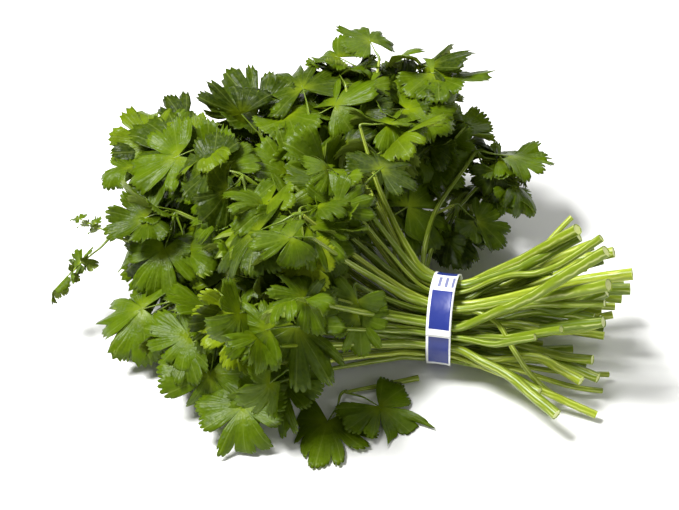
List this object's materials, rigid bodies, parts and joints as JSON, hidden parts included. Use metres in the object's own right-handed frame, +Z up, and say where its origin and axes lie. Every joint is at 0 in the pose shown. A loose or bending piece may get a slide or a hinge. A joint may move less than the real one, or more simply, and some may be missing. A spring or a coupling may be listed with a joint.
{
  "type": "coriander bunch",
  "caption": "Bunch of fresh coriander lying on its side: leafy sprigs fanned out from stems held by a flat printed tie, with the cut stem ends splayed on the other side.",
  "frame": {"origin": "the middle of the bunch's footprint, on the surface it lies on", "axes": "+X along the bunch from the leafy head towards the cut stem ends, +Y across the bunch, away from a viewer who has the cut ends on their right, +Z up from the table"},
  "size_m": [0.2592, 0.2148, 0.0883],
  "materials": {
    "leaf": "fresh leaf, satin, ribbed and toothed, mid green with yellow-green and paler undersides",
    "stem": "fresh stem, smooth, finely ribbed, light yellow-green",
    "tie_strip": "laminated paper strip, white with dark blue printed blocks"
  },
  "bodies": {
    "root": {"leaf_01a": "leaf", "leaf_01b": "leaf", "leaf_02a": "leaf", "leaf_02b": "leaf", "leaf_03a": "leaf", "leaf_03b": "leaf", "leaf_04a": "leaf", "leaf_04b": "leaf", "leaf_05a": "leaf", "leaf_05b": "leaf", "leaf_06a": "leaf", "leaf_06b": "leaf", "leaf_07a": "leaf", "leaf_07b": "leaf", "leaf_07c": "leaf", "leaf_08a": "leaf", "leaf_08b": "leaf", "leaf_09": "leaf", "leaf_10a": "leaf", "leaf_10b": "leaf", "leaf_11a": "leaf", "leaf_11b": "leaf", "leaf_12": "leaf", "leaf_13a": "leaf", "leaf_13b": "leaf", "leaf_14": "leaf", "leaf_15": "leaf", "leaf_16": "leaf", "leaf_17a": "leaf", "leaf_17b": "leaf", "leaf_18": "leaf", "leaf_19": "leaf", "leaf_20": "leaf", "leaf_21a": "leaf", "leaf_21b": "leaf", "leaf_loosea": "leaf", "leaf_looseb": "leaf", "stem_01": "stem", "stem_02": "stem", "stem_03": "stem", "stem_04": "stem", "stem_05": "stem", "stem_06": "stem", "stem_07": "stem", "stem_08": "stem", "stem_09": "stem", "stem_10": "stem", "stem_11": "stem", "stem_12": "stem", "stem_13": "stem", "stem_14": "stem", "stem_15": "stem", "stem_16": "stem", "stem_17": "stem", "stem_18": "stem", "stem_19": "stem", "stem_20": "stem", "stem_21": "stem", "stem_loose": "stem", "tie": "tie_strip"}
  },
  "joints": []
}
